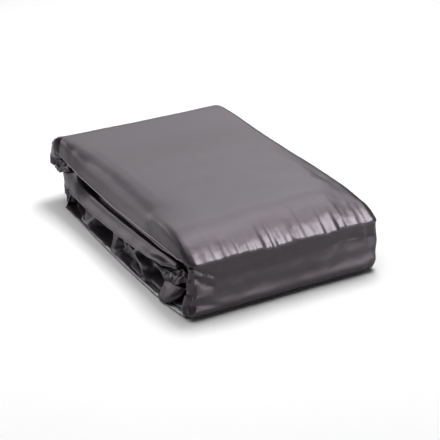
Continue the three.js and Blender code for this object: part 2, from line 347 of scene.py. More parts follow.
def crumple(outlines, length, amount):
    """Moves the hem's points of each left edge in and out, as a crumpled edge goes."""
    for first, last, seed in ((3, 6, 1.5), (6, 8, 4.5)):
        outlines[:, first:last, 1] += (wave(length / 0.013, (seed, 0.5)) * amount)[:, None]
        outlines[:, first:last, 0] += (wave(length / 0.016, (seed, 7.5)) * amount * 0.5)[:, None]


def rings(path, keys, right, rough_edge, square):
    """Closed rings (station, point, 2). For each station, right is the pad's right edge, rough_edge is how
    crumpled its left edge is, and square below 1 makes the right bend fuller."""
    outlines = blend_keys(keys, path.length) * MM
    crumple(outlines, path.length, rough_edge)
    left = catmull(outlines, PER_SPAN)
    centre = (right - HALF)[:, None]
    t = np.linspace(0, 1, FLAT_POINTS)[None, :]
    rim, sole = left[:, :1, :], left[:, -1:, :]
    top = np.stack([rim[..., 0] + (centre - rim[..., 0]) * t, rim[..., 1] + (HALF - rim[..., 1]) * t], -1)
    angle = np.linspace(90, -90, BEND_POINTS + 2)[1:-1] * math.pi / 180
    power = square[:, None]
    cosine, sine = np.cos(angle)[None, :], np.sin(angle)[None, :]
    bend = np.stack([centre + HALF * cosine**power, HALF * np.sign(sine) * np.abs(sine) ** power], -1)
    under = np.stack([centre + (sole[..., 0] - centre) * t, -HALF + (sole[..., 1] + HALF) * t], -1)
    return np.concatenate([top, bend, under, left[:, ::-1][:, 1:-1]], 1)


def ring_caps(count):
    """Quads that close a ring, pairing the top's points with the underside's."""
    left = 2 * FLAT_POINTS + BEND_POINTS
    pairs = [(i, left - 1 - i) for i in range(FLAT_POINTS + BEND_POINTS // 2)]
    ends = [(0, left - 1)] + [(count - 1 - i, left + i) for i in range((count - left) // 2)]
    faces = [(a, c, d, b) for (a, b), (c, d) in zip(pairs, pairs[1:])]
    return faces + [(c, a, b, d) for (a, b), (c, d) in zip(ends, ends[1:])]


def carry(section, path):
    """Rings in the model's frame."""
    v = section[..., 1]
    y = path.place[:, 0:1] + v * path.normal[:, 0:1]
    z = path.place[:, 1:2] + v * path.normal[:, 1:2]
    return np.stack([section[..., 0], y, z], -1)


def metric_uv(section, path):
    """UVs in metres, round each ring and along the path, so that the weave is even."""
    step = np.linalg.norm(np.diff(section, axis=1), axis=2)
    u = np.concatenate([np.zeros((len(section), 1)), np.cumsum(step, 1)], 1)
    return np.stack([u, np.broadcast_to(path.length[:, None], u.shape)], -1)


def cushion_end(ring, along, bulge, normal, middle):
    """Extra rings that close a pad's end with a rounded edge: the ring flattens as it moves along."""
    made, steps = [], 5
    n = np.array([0, *normal])
    height = (ring - np.array([0, *middle])) @ n
    for k in range(1, steps + 1):
        a = 0.5 * math.pi * k / steps
        squeeze = max(0.04, math.cos(a) ** 0.6)
        flat = ring + np.outer(height * (squeeze - 1), n) + bulge * math.sin(a) * np.array([0, *along])
        flat[:, 0] *= 1 - 0.02 * (1 - math.cos(a))
        made.append(flat)
    return np.array(made)


# ---- materials


def feed(node, **inputs):
    """Sets a node's inputs, named with _ for a space, to values or to other nodes' sockets."""
    for name, value in inputs.items():
        socket = node.inputs[name.replace("_", " ")]
        if isinstance(value, bpy.types.NodeSocket):
            node.id_data.links.new(value, socket)
        else:
            socket.default_value = value
    return node


def principled(name):
    """A new material, its nodes, and its shader."""
    material = bpy.data.materials.new(name)
    material.use_nodes = True
    nodes = material.node_tree.nodes
    return material, nodes, nodes["Principled BSDF"]


def add(nodes, kind, **inputs):
    return feed(nodes.new("ShaderNode" + kind), **inputs)


def object_noise(nodes, scale, detail):
    """Smooth noise by the place on the object, 0 to 1."""
    where = add(nodes, "TexCoord").outputs["Object"]
    return add(nodes, "TexNoise", Vector=where, Scale=scale, Detail=detail).outputs["Fac"]


def shaded(nodes, colour, low, high, share):
    """From low to high times the colour, as share goes from 0 to 1."""
    tint = nodes.new("ShaderNodeMix")
    tint.data_type = "RGBA"
    ends = [(*(c * times for c in colour), 1) for times in (low, high)]
    return feed(tint, Factor=share, A=ends[0], B=ends[1]).outputs["Result"]


def between(nodes, low, high, share):
    return add(nodes, "MapRange", Value=share, To_Min=low, To_Max=high).outputs["Result"]


def coated_cloth(name, colour, roughness=0.3):
    """Smooth coated cloth: a soft gloss, faint cloudiness, a fine weave and small soft creases."""
    material, nodes, shader = principled(name)
    clouds = object_noise(nodes, scale=9, detail=4)
    where = add(nodes, "TexCoord").outputs["UV"]
    weave = add(nodes, "Math")
    weave.operation = "MULTIPLY"
    for socket, direction in zip(weave.inputs, "XY"):
        threads = add(nodes, "TexWave", Vector=where, Scale=420, Distortion=0.6)
        threads.bands_direction = direction
        weave.id_data.links.new(threads.outputs["Fac"], socket)
    fine = add(nodes, "Bump", Height=weave.outputs["Value"], Strength=0.12, Distance=0.0002)
    soft = add(nodes, "Bump", Height=object_noise(nodes, scale=42, detail=3), Normal=fine.outputs["Normal"])
    feed(soft, Strength=0.25, Distance=0.0012)
    feed(shader, Base_Color=shaded(nodes, colour, 0.93, 1.07, clouds), Normal=soft.outputs["Normal"])
    feed(shader, Roughness=between(nodes, roughness - 0.04, roughness + 0.05, clouds))
    feed(shader, IOR=1.42, Specular_Tint=(1, 0.9, 0.97, 1))
    return material


def grained(name, colour, roughness, scale, metallic=0.0, depth=0.1):
    """A hard material with an even grain: the grain shades its colour, its gloss and its surface."""
    material, nodes, shader = principled(name)
    grain = object_noise(nodes, scale, detail=3)
    bump = add(nodes, "Bump", Height=grain, Strength=depth, Distance=0.0002)
    feed(shader, Base_Color=shaded(nodes, colour, 0.85, 1.15, grain), Normal=bump.outputs["Normal"])
    feed(shader, Roughness=between(nodes, roughness - 0.06, roughness + 0.08, grain), Metallic=metallic)
    return material


SHELL_COLOUR = (0.033, 0.0275, 0.032)
# The edging cloth is much lighter than the shell: a painted highlight for the thin bright lines along the hems
# and the floor edge.
HEM_HIGHLIGHT_COLOUR = (0.24, 0.215, 0.235)
shell = coated_cloth("shell_cloth", SHELL_COLOUR)
hem_highlight_cloth = coated_cloth("binding_painted_highlight", HEM_HIGHLIGHT_COLOUR, 0.35)

# ---- the two covers


def at(path, y=None, z=None, after=0.0):
    """The length along path, from after on, of the station nearest to y or z."""
    axis, value = (0, y) if y is not None else (1, z)
    far = np.abs(path.place[:, axis] - value) + 10 * (path.length < after)
    return path.length[int(np.argmin(far))]


def over(places, values):
    """A function that goes straight from each of the values to the next, both in mm."""
    return lambda place: np.interp(place, places, values)


# Heights in mm: of the top hem and the flap's hem, by y, and of the top front edge, by x.
hem_height = over(
    (-312, -260, -205, -159, -94, 10, 64, 149, 210, 277),
    (113, 114, 114, 113, 109.5, 107.5, 108, 110, 114, 120),
)
flap_height = over((-262, -237, -190, -135, -58, 46, 104, 193, 259), (80, 77, 69, 60, 53.5, 47, 46, 48, 53))
edge_height = over(
    (-206, -187, -137, -95, -60, -24, 2, 29, 63, 97, 117, 127, 155, 180, 206),
    (111, 112, 113, 114, 112, 107.5, 108.5, 112, 109, 107, 107.5, 111, 111.5, 109.5, 111),
)


def outward(points):
    """Normals of a grid of rings, pointing out of the pad."""
    around = np.roll(points, -1, 1) - np.roll(points, 1, 1)
    normal = unit(np.cross(around, np.gradient(points, axis=0)))
    middle = points[:, FLAT_POINTS // 2]
    under = points[:, FLAT_POINTS + BEND_POINTS + FLAT_POINTS // 2]
    if np.sum(normal[:, FLAT_POINTS // 2] * (middle - under)) < 0:
        normal = -normal
    return normal


def round_bottom_edge(points, radius=6 * MM):
    """Rounds the bottom front edge: no point lies outside the rounding."""
    y, z = points[..., 1] - (FRONT + radius), points[..., 2] - radius
    far = np.hypot(y, z)
    out = (y < 0) & (z < 0) & (far > radius)
    scale = np.where(out, radius / np.maximum(far, 1e-9), 1)
    points[..., 1] = FRONT + radius + y * scale
    points[..., 2] = radius + z * scale


# The top's fall to its front edge, in mm: its length over the cloth, how far back it reaches, and the length
# over the CAD's round corner, from the corner's middle, that becomes it.
FALL_RUN, FALL_DEPTH, ROUND_RUN = 118, 111, 99.6


def edge_tables():
    """The top's fall towards its front edge: how far back it is, and its share of the fall, by length."""
    length = np.linspace(-12, FALL_RUN, 400)
    slope = 36.5 * np.clip(1 - length / FALL_RUN, 0, 1) ** 0.95 + 52 * smoothstep(2.5, -5, length)
    slope = np.radians(np.minimum(slope, 90))
    step = length[1] - length[0]
    run, fall = np.cumsum(np.cos(slope)) * step, np.cumsum(np.sin(slope)) * step
    edge = int(np.argmin(np.abs(length)))
    run = (run - run[0]) * (FALL_DEPTH / (run[-1] - run[0]))
    return length, run, (fall[-1] - fall) / (fall[-1] - fall[edge])


def fall_to_front(points, section, edge):
    """Moves the outer face from the CAD's round corner to a long fall and a crisp front edge.

    edge is each station's length over the outer cloth from the middle of the corner."""
    length, run, share = edge_tables()
    x = points[..., 0] / MM
    height = edge_height(x) + 2.5 * wave(x / 9, (3.3, 0))
    outer = points[:, FLAT_POINTS // 2]
    up_front = -edge[0] / MM
    along = edge[:, None] / MM
    low = outer[0, 2] / MM
    reach = np.where(along < 0, along * (height - low) / up_front, along * FALL_RUN / ROUND_RUN)
    top = TOP / MM
    goal_z = top - (top - height) * np.interp(reach, length, share)
    start_z = top - (top - height) * share[0]
    up = (reach + height - low) / (length[0] + height - low)
    goal_z = np.where(reach < length[0], low + (start_z - low) * up, goal_z)
    goal_y = FRONT / MM + np.interp(reach, length, run, left=0)
    far = reach > FALL_RUN - 1
    move_y = np.where(far, 0, goal_y * MM - outer[:, None, 1])
    move_z = np.where(far, 0, goal_z * MM - outer[:, None, 2])
    weight = outer_mask(section)
    points[..., 1] += move_y * weight
    points[..., 2] += move_z * weight
    rim_fall = np.interp(outer[:, 1] / MM, [-270, -200, -120, -40, 60], [0, 2, 6, 4, 0])
    points[..., 2] -= rim_fall[:, None] * MM * weight * smoothstep(-0.11, -0.19, points[..., 0])


GATHERS = 150


def gathers(points, edge, seed):
    """Short folds across the top front edge, fanning out and closer together to the right.

    edge is each point's distance over the cloth from the edge, up the front being negative."""
    draw = np.random.default_rng(seed)
    x = points[..., 0]
    amount = np.zeros(x.shape)
    for _ in range(GATHERS):
        share = draw.random() ** 0.6
        centre = -0.2 + 0.42 * share
        reach = draw.uniform(0.008, 0.026) * (0.6 + 0.9 * share)
        middle = draw.uniform(-0.001, 0.016) + 0.006 * share
        lean = draw.normal(-0.06 * share, 0.2)
        width = draw.uniform(0.0014, 0.0042)
        depth = draw.uniform(0.12, 0.34) * MM * (0.12 + 1.15 * share) * (width / 0.003)
        across = x - centre - lean * (edge - middle)
        along = np.clip(1 - ((edge - middle) / reach) ** 2, 0, 1) ** 1.5
        ridge, sides = np.exp(-((across / width) ** 2)), np.exp(-((across / (2.2 * width)) ** 2))
        amount += depth * along * (ridge - 0.5 * sides)
    return amount


def crease(x, z, start, end, width):
    """A fold's share: 1 on the line from start to end, both (x, z), and falling off over width."""
    dx, dz = end[0] - start[0], end[1] - start[1]
    t = np.clip(((x - start[0]) * dx + (z - start[1]) * dz) / (dx * dx + dz * dz), 0, 1)
    far = np.hypot(x - start[0] - t * dx, z - start[1] - t * dz)
    return np.exp(-((far / width) ** 1.5)) * np.sin(math.pi * np.clip(0.12 + 0.85 * t, 0, 1)) ** 0.5


def noisy(points, kind, scale, seed, where):
    """Noise where the mask is above nothing, and 0 elsewhere: noise is slow."""
    amount = np.zeros(points.shape[:2])
    wanted = where > 1e-3
    amount[wanted] = kind(points[wanted], scale, seed) * where[wanted]
    return amount


def outer_mask(section):
    """1 on the outside face of a pad, fading out over its right bend and down to the hem on its left."""
    v = section[..., 1] / MM
    hem = v[:, HEM_INDEX][:, None]
    left, right = (v - hem) / (FACE - hem), (v + FACE) / (2 * FACE)
    mask = np.where(section[..., 0] < -0.15, np.clip(left, 0, 1) ** 0.8, np.clip(right, 0, 1))
    mask[:, FLAT_POINTS + BEND_POINTS : HEM_INDEX + 1] = 0
    mask[:, :FLAT_POINTS] = 1
    return mask


def front_profile(z):
    """How far the front stands out at height z: slack above, and a fuller band low down."""
    z = z / MM
    return MM * (6 * np.exp(-(((z - 18) / 16) ** 2)) - 5 * np.exp(-(((z - 78) / 25) ** 2)))


CLOTH_STEP = 3  # every third station and ring point takes part in the cloth simulation
CLOTH_FRAMES = 16
CLOTH = {
    "quality": 4, "mass": 0.3, "tension_stiffness": 12, "compression_stiffness": 12,
    "bending_stiffness": 0.3, "use_pressure": True, "uniform_pressure_force": 4,
}
SWELL = 3 * MM  # no point moves further than this in it


def sparse(count):
    """Every CLOTH_STEP-th index, with the last."""
    return np.unique(np.append(np.arange(0, count, CLOTH_STEP), count - 1))


def swell(points):
    """How far each grid point moves when the pad's cloth is blown up a little: Blender's Cloth, with pressure
    and no gravity, on a coarse copy of the grid."""
    moved = np.zeros(points.shape)
    rows, columns = sparse(points.shape[0]), np.arange(0, points.shape[1], CLOTH_STEP)
    coarse = points[rows][:, columns]
    faces = tube_faces(len(rows), len(columns)) + lids(len(rows), len(columns))
    pad = make_object("swelling", coarse.reshape(-1, 3), faces, shell)
    work = bmesh.new()
    work.from_mesh(pad.data)
    bmesh.ops.recalc_face_normals(work, faces=work.faces[:])
    work.to_mesh(pad.data)
    work.free()
    cloth = pad.modifiers.new("Cloth", "CLOTH")
    cloth.point_cache.frame_end = CLOTH_FRAMES
    for name, value in CLOTH.items():
        setattr(cloth.settings, name, value)
    cloth.settings.effector_weights.gravity = 0
    scene = bpy.context.scene
    for step in range(1, CLOTH_FRAMES + 1):
        scene.frame_set(step)
    shape = pad.evaluated_get(bpy.context.evaluated_depsgraph_get()).data
    places = np.zeros(len(shape.vertices) * 3)
    shape.vertices.foreach_get("co", places)
    push = places.reshape(coarse.shape) - coarse
    far = np.linalg.norm(push, axis=2, keepdims=True)
    push *= SWELL * np.tanh(far / SWELL) / np.maximum(far, 1e-9)
    bpy.data.objects.remove(pad)
    scene.frame_set(1)
    for axis in range(3):
        along = np.array([np.interp(np.arange(len(points)), rows, line) for line in push[..., axis].T]).T
        around = np.concatenate([along, along[:, :1]], 1)
        stops = np.append(columns, points.shape[1])
        moved[..., axis] = [np.interp(np.arange(points.shape[1]), stops, line) for line in around]
    return moved


def build_cover(name, path, points, section, end_along, bulge):
    """The cover's object, its far end closed by a rounded edge that stands out by bulge."""
    uv = metric_uv(section, path)
    end = cushion_end(points[-1], end_along, bulge, path.normal[-1], path.place[-1])
    points = np.concatenate([points, end])
    uv = np.concatenate([uv, np.repeat(uv[-1:], len(end), 0)])
    faces = tube_faces(len(points), points.shape[1], ring_caps)
    return make_object(name, points.reshape(-1, 3), faces, shell, uv.reshape(-1, 2))


def upper_cover():
    path = upper_path
    keys = [(0, SPINE_LOW)]
    for height, outline in ((60, SPINE_LOW), (80, SPINE), (96, SPINE)):
        keys.append((at(path, z=height * MM), outline))
    half_way = 0.5 * (np.array(TOP_RIM) + np.array(TOP_BACK_RIM))
    rims = [(y, TOP_BACK_RIM) for y in (-284, -262, -205)] + [(y, TOP_RIM) for y in (-110, 10, 64, 149)]
    for y, rim in rims + [(215, half_way)]:
        keys.append((at(path, y=y * MM, after=0.1), band(hem_height(y) - TOP_MIDDLE / MM, rim)))
    keys.append((at(path, y=drop[0] - 16 * MM), band(-7, TOP_BACK_RIM)))
    turn_back = at(path, y=drop[0])
    folds = ((0.14, band(-4, TOP_BACK_RIM)), (0.18, SLIT), (0.24, SLIT), (0.32, POCKET), (0.9, POCKET))
    for angle, outline in folds:
        keys.append((turn_back + angle * DROP_RADIUS, outline))
    keys.append((path.length[-1], POCKET_END))
    y, z = path.place.T
    right = RIGHT + 3 * MM * np.exp(-(((y + 0.11) / 0.14) ** 2)) - 4 * MM * smoothstep(0.2, 0.28, y)
    right = right + 6 * MM * smoothstep(0.03, 0.08, z) * smoothstep(-0.22, -0.29, y)
    on_front = smoothstep(0.115, 0.09, z)
    section = rings(path, keys, right, on_front * 5 * MM, 1 - 0.45 * smoothstep(-0.25, -0.29, y))
    points = carry(section, path)
    outer = outer_mask(section)
    edge = lengths(points[:, FLAT_POINTS // 2])
    edge = edge - edge[np.argmax(path.normal[:, 1] > math.sqrt(0.5))]
    fall_to_front(points, section, edge)
    points = points + swell(points) * (outer * smoothstep(0.2, 0.04, points[..., 1]))[..., None]
    edge = edge[:, None] * np.ones(points.shape[1])
    x, y, z = points[..., 0], points[..., 1], points[..., 2]
    amount = gathers(points, edge, 11) * outer * smoothstep(-0.212, -0.2, x)
    amount += 0.9 * MM * noisy(points, wander, 0.11, 3, outer)
    amount += 0.5 * MM * noisy(points, wander, 0.03, 5, outer * smoothstep(0.11, 0.0, edge))
    facing = smoothstep(-0.262, -0.3, y) * outer
    amount += front_profile(z) * facing * smoothstep(0, -0.01, edge)
    for start, end, depth, width in FRONT_CREASES:
        start, end = (tuple(v * MM for v in p) for p in (start, end))
        amount += depth * MM * crease(x, z, start, end, width * MM) * facing
    side = smoothstep(-0.188, -0.206, x)
    amount += 0.6 * MM * noisy(points, wander, 0.08, 7, side)
    strip = side * smoothstep(-0.262, -0.285, y) * smoothstep(0.125, 0.1, z)
    amount += 3 * MM * (noisy(points, creased, 0.022, 8, strip) - 0.5 * strip)
    pocket = side * smoothstep(0.268, 0.28, y)
    amount += 2.5 * MM * (noisy(points, creased, 0.03, 9, pocket) - 0.5 * pocket)
    points = points + outward(points) * amount[..., None]
    points[..., 2] += 4 * MM * smoothstep(0.14, 0.285, y) * outer
    points[..., 0] += right_bulge(points)
    round_bottom_edge(points)
    return points, build_cover("upper_cover", path, points, section, (0, -1), 4 * MM)


def right_bulge(points):
    """The front's right end is full half way up and tucked in at the bottom."""
    z = points[..., 2] / MM
    near = smoothstep(0.165, 0.21, points[..., 0]) * smoothstep(-0.2, -0.29, points[..., 1])
    return near * MM * (8 * np.exp(-(((z - 68) / 26) ** 2)) - 7 * smoothstep(30, 4, z))


FRONT_CREASES = (
    # from (x, z) to (x, z) on the front, how far the cloth stands out there, and the fold's width, in mm
    ((-203, 106), (-158, 82), -5.2, 5),
    ((-205, 94), (-164, 60), -4.4, 5),
    ((-204, 101), (-160, 72), 3.2, 4),
    ((-204, 34), (-150, 22), -2.0, 4),
    ((-206, 48), (-165, 44), 1.4, 5),
    ((190, 100), (197, 22), -3.4, 4.5),
    ((204, 98), (206, 24), 1.2, 4),
    ((182, 8), (204, 24), -2.5, 4),
)


def fill_corner(points):
    """Pulls the upper left of the back bend out to a squarer corner, up to the top third's hanging end."""
    y, z = (points[..., 1] - BEND_Y) / BEND_RADIUS, (points[..., 2] - BEND_Z) / BEND_RADIUS
    share = smoothstep(-0.12, -0.185, points[..., 0]) * smoothstep(0, 0.15, y) * smoothstep(0, 0.2, z)
    power = 4.4  # of the rounded square that the bend's circle grows towards
    square = np.maximum(np.abs(y), 1e-3) ** power + np.maximum(np.abs(z), 1e-3) ** power
    grow = 1 + (np.clip(np.hypot(y, z) / square ** (1 / power), 1, 1.3) - 1) * share
    high = np.exp(-(((points[..., 2] / MM - 84) / 23) ** 2))
    out = 22 * MM * share * high * smoothstep(0.2, 0.6, y)
    points[..., 1] = BEND_Y + (points[..., 1] - BEND_Y) * grow + out
    points[..., 2] = BEND_Z + (points[..., 2] - BEND_Z) * (1 + 0.3 * (grow - 1))


def lower_cover():
    path = lower_path
    keys = [(0, SPINE_LOW), (0.014, BOTTOM_EDGE), (0.04, BOTTOM_EDGE)]
    for y, outline in ((-268, BOTTOM_BULGED), (-120, BOTTOM_BULGED), (60, BOTTOM), (215, BOTTOM)):
        keys.append((at(path, y=y * MM, after=0.05), outline))
    bend_start = at(path, y=BEND_Y, after=0.1)
    bend = math.pi * BEND_RADIUS
    for share in (0.15, 0.48):
        keys.append((bend_start + share * bend, BEHIND))
    for angle, hem in ((5, 0), (11, -10), (30, -18), (60, -22)):
        keys.append((bend_start + (0.5 + angle / 180) * bend, band(hem, BEND_RIM)))
    for y, rim in [(212, BEND_RIM)] + [(y, MIDDLE_RIM) for y in (140, 69, -2, -71, -138, -202)]:
        outline = band(flap_height(y) - MIDDLE_THIRD / MM, rim)
        keys.append((at(path, y=y * MM, after=bend_start + bend), outline))
    keys.append((path.length[-1], band(2, MIDDLE_RIM, -204)))
    right = RIGHT + 3 * MM * smoothstep(0.05, 0.0, path.length)
    rough_edge = 3 * MM * smoothstep(0.03, 0.0, path.length)
    section = rings(path, keys, right, rough_edge, 1 - 0.45 * smoothstep(0.09, 0.03, path.length))
    points = carry(section, path)
    fill_corner(points)
    behind = smoothstep(0.19, 0.23, points[..., 1])
    points = points + swell(points) * (behind * outer_mask(section))[..., None]
    x, y, z = points[..., 0], points[..., 1], points[..., 2]
    side = smoothstep(-0.165, -0.185, x)
    behind = side * smoothstep(0.225, 0.25, y) * smoothstep(0.055, 0.042, z)
    amount = 9 * MM * (noisy(points, creased, 0.026, 22, behind) - 0.5 * behind)
    amount += 0.8 * MM * noisy(points, wander, 0.06, 24, side)
    amount += 1.2 * MM * noisy(points, wander, 0.06, 25, smoothstep(0.22, 0.24, y))
    points = points + outward(points) * amount[..., None]
    points[..., 2] = np.maximum(points[..., 2], CLEAR)
    round_bottom_edge(points)
    return points, build_cover("lower_cover", path, points, section, (-1, 0), 5 * MM)


upper_points, upper = upper_cover()
lower_points, lower = lower_cover()

# ---- bindings along the hems

PIPE_SIDES = 10


def piping(name, curve, radius, material):
    """A thin round edge along a curve of points in metres, tapering off at both ends."""
    along = unit(np.gradient(curve, axis=0))
    side = unit(np.cross(along, (0, 0, 1)))
    up = np.cross(side, along)
    share = np.arange(len(curve)) / (len(curve) - 1)
    thick = radius * np.clip(np.minimum(share, 1 - share) * 30, 0.25, 1)
    angle = (np.arange(PIPE_SIDES) * 2 * math.pi / PIPE_SIDES)[:, None]
    ring = np.cos(angle) * side[:, None] + np.sin(angle) * up[:, None]
    ring = curve[:, None] + thick[:, None, None] * ring
    faces = tube_faces(len(ring), PIPE_SIDES) + lids(len(ring), PIPE_SIDES)
    around = np.arange(PIPE_SIDES)[None, :] * radius
    uv = np.stack(np.broadcast_arrays(around, lengths(curve)[:, None]), -1)
    return make_object(name, ring.reshape(-1, 3), faces, material, uv.reshape(-1, 2))


def hem_of(points, stations):
    """The hem of a cover at the stations wanted, without the rings that close the cover's end."""
    return points[: len(stations)][stations, HEM_INDEX]


# The hem pipings use the lighter edging cloth: a painted highlight along each hem line.
upper_stations = (upper_path.place[:, 0] < drop[0] + 9 * MM) & (upper_path.place[:, 1] > 112 * MM)
upper_hem = piping("upper_outer_hem", hem_of(upper_points, upper_stations), 0.9 * MM, hem_highlight_cloth)
lower_stations = (lower_path.normal[:, 1] > 0.2) & (lower_path.place[:, 0] < 0.26)
lower_hem = piping("middle_outer_hem", hem_of(lower_points, lower_stations), 0.7 * MM, hem_highlight_cloth)

FLOOR_EDGE = (
    # the bottom pad's hem on the floor, back to front: (x, y, z) in mm
    (-203, 262, 2), (-208, 224, 2), (-213, 168, 2), (-216.5, 108, 2), (-219, 46, 2), (-220.5, -2, 2),
    (-221.5, -60, 2), (-222, -120, 2), (-221.5, -180, 2), (-221, -215, 2), (-220, -245, 2), (-218, -270, 2),
    (-214.5, -294, 2), (-210, -310, 2),
)
# The floor edge's piping is lighter too: a painted highlight on an edge that lies in shade.
floor_edge = piping("lower_outer_hem", catmull(np.array(FLOOR_EDGE)[None] * MM, 12)[0], 1.4 * MM, hem_highlight_cloth)

# The hanging end's last ring, along its outer and its inner face, without the points at the left rim.
head_ring = upper_points[-1]
head_inner = head_ring[FLAT_POINTS + BEND_POINTS :][: FLAT_POINTS - 3]
head_outer_edge = piping("head_outer_edge", head_ring[3:FLAT_POINTS], 1.8 * MM, shell)
head_inner_edge = piping("head_inner_edge", head_inner, 1.8 * MM, shell)


def ribbon(name, curve, height, thickness, lean):
    """A thin strip of cloth that stands on a curve, height tall, its lower edge rolled."""
    half, roll = thickness * 0.5, thickness * 0.9
    right = [(half, height), (half, 3 * thickness), (roll, 1.5 * thickness)]
    angles = [math.radians(angle) for angle in (-20, -55, -90, -125, -160)]
    rolled = [(roll * math.cos(a), roll * (1 + math.sin(a))) for a in angles]
    profile = np.array(right + rolled + [(-x, z) for x, z in reversed(right)])
    ring = np.repeat(curve[:, None], len(profile), 1)
    ring[..., 0] += profile[:, 0] + lean * profile[:, 1]
    ring[..., 2] += profile[:, 1]
    faces = tube_faces(len(ring), len(profile)) + lids(len(ring), len(profile))
    return make_object(name, ring.reshape(-1, 3), faces, shell)


def inner_hem_curve():
    """The inner wall's hem shows below the outer wall's: close under it behind, parting from it in front."""
    y = np.linspace(-296, 150, 150)
    parting = over((-296, -284, -250, -210, -165, -120, -60, 0, 60, 150), (2, 4, 7, 10, 9.5, 8, 7, 6, 3, -3))
    apart = parting(y) + 0.8 * wave(y / 30, (0.5, 2.5))
    x = np.interp(y, [-296, -270, -200, 60, 150], [-205, -208.5, -211, -210, -208])
    return np.stack([x, y, hem_height(y) - apart], 1) * MM


# The inner hem's piping uses the lighter edging cloth: a painted highlight.
upper_inner_hem = ribbon("upper_inner_hem", inner_hem_curve(), 15 * MM, 1.3 * MM, lean=0.35)
inner_edge = piping("upper_inner_edge", inner_hem_curve() + (0, 0, 1.2 * MM), 0.9 * MM, hem_highlight_cloth)

# ---- pleats and loose edges on the left

SHEET_THICKNESS = 1.2 * MM

GUSSET = (
    # lines of folds on the side gusset, back to front: (x, y, z) in mm
    ((-204, 262, 1), (-208, 224, 1), (-212, 168, 1), (-214, 108, 1), (-216, 46, 1), (-216, -2, 1)),
    ((-216, -2, 1), (-217, -37, 1), (-217, -97, 1), (-217, -138, 1), (-217, -185, 1), (-216, -209, 1)),
    ((-216, -209, 1), (-214, -238, 1), (-207, -262, 1)),
    ((-202, 262, 12), (-204, 244, 7), (-203, 214, 32), (-207, 200, 20), (-210, 180, 1), (-211, 115, 1)),
    ((-211, 115, 1), (-214, 60, 1), (-216, 20, 2), (-216, -8, 4)),
    ((-196, 232, 34), (-190, 200, 30), (-196, 180, 8), (-200, 110, 3), (-202, 60, 3), (-205, 22, 1)),
    ((-172, 262, 8), (-170, 200, 6), (-168, 100, 5), (-178, 58, 6)),
    ((-180, 262, 52), (-180, 200, 52), (-180, 100, 52), (-181, 60, 52), (-192, 52, 52), (-182, 20, 52)),
    ((-182, 20, 52), (-182, -10, 54), (-193, -20, 54), (-182, -40, 56), (-182, -110, 62), (-184, -190, 72),
     (-184, -250, 80)),
    ((-192, 52, 52), (-194, 46, 34), (-204, 29, 21), (-212, 7, 7), (-216, -8, 4)),
    ((-188, 64, 30), (-186, 62, 8), (-190, 44, 5), (-205, 22, 1)),
    ((-192, 52, 52), (-196, 40, 35), (-205, 5, 27), (-211, -29, 22), (-216, -72, 7), (-217, -115, 5),
     (-217, -150, 9)),
    ((-196, 18, 41), (-200, -12, 31), (-204, -45, 24), (-208, -88, 14)),
    ((-193, -20, 54), (-200, -38, 37), (-206, -71, 33), (-212, -104, 28), (-218, -133, 23), (-217, -150, 9)),
    ((-186, -2, 40), (-190, -14, 20), (-198, -45, 14), (-205, -80, 3), (-214, -119, 4)),
    ((-178, -40, 40), (-178, -20, 12), (-184, -48, 11), (-196, -90, 13), (-208, -125, 6)),
    ((-217, -150, 9), (-217, -178, 5), (-217, -205, 1), (-214, -236, 1)),
    ((-206, -150, 7), (-207, -176, 5), (-209, -198, 1)),
    ((-190, -93, 32), (-196, -140, 32), (-199, -172, 37), (-203, -193, 36), (-207, -219, 44),
     (-200, -232, 48)),
    ((-180, -120, 44), (-180, -160, 50), (-182, -200, 52), (-182, -240, 56)),
    ((-196, -185, 26), (-198, -196, 12), (-196, -225, 20), (-190, -255, 20)),
    ((-172, -150, 10), (-176, -210, 8), (-178, -262, 8)),
    ((-180, -262, 40), (-184, -250, 80)),
)


def soften(work, factor):
    every_axis = {"use_axis_x": True, "use_axis_y": True, "use_axis_z": True}
    bmesh.ops.smooth_vert(work, verts=work.verts[:], factor=factor, **every_axis)


def folded_sheet(name, lines):
    """A sheet over the YZ plane with sharp folds along lines: triangulated between them, then softened."""
    index, places, edges = {}, [], []
    for line in lines:
        ids = []
        for x, y, z in line:
            if (y, z) not in index:
                index[(y, z)] = len(places)
                places.append((x * MM, y * MM, z * MM))
            ids.append(index[(y, z)])
        edges += list(zip(ids, ids[1:]))
    flat = [Vector((y, z)) for _, y, z in places]
    verts, _, faces, origin, _, _ = delaunay_2d_cdt(flat, edges, [], 0, 1e-6)
    depth = []
    for v, source in zip(verts, origin):
        if source:
            depth.append(places[source[0]][0])
        else:
            near = sorted(places, key=lambda p: (p[1] - v.x) ** 2 + (p[2] - v.y) ** 2)[:2]
            depth.append(sum(p[0] for p in near) / 2)
    piece = make_object(name, [(d, v.x, v.y) for d, v in zip(depth, verts)], faces, shell)
    work = bmesh.new()
    work.from_mesh(piece.data)
    bmesh.ops.triangulate(work, faces=work.faces[:])
    for cuts, factors in ((2, (0.18, 0.18)), (1, (0.25,))):
        bmesh.ops.subdivide_edges(work, edges=work.edges[:], cuts=cuts, use_grid_fill=True)
        for factor in factors:
            soften(work, factor)
    for v in work.verts:
        v.co.x -= 0.8 * MM * noise.noise(v.co / 0.02)
    bmesh.ops.recalc_face_normals(work, faces=work.faces[:])
    if sum(face.normal.x for face in work.faces) > 0:
        bmesh.ops.reverse_faces(work, faces=work.faces[:])
    work.normal_update()
    twin = {v: work.verts.new(v.co - v.normal * SHEET_THICKNESS) for v in list(work.verts)}
    rim = [edge.link_loops[0] for edge in work.edges if edge.is_boundary]
    rim = [(loop.vert, loop.link_loop_next.vert) for loop in rim]
    for face in list(work.faces):
        work.faces.new([twin[v] for v in reversed(face.verts)])
    for a, b in rim:
        work.faces.new((b, a, twin[a], twin[b]))
    for v in work.verts:
        v.co.z = max(v.co.z, CLEAR)
    for face in work.faces:
        face.smooth = True
    work.to_mesh(piece.data)
    work.free()
    return piece


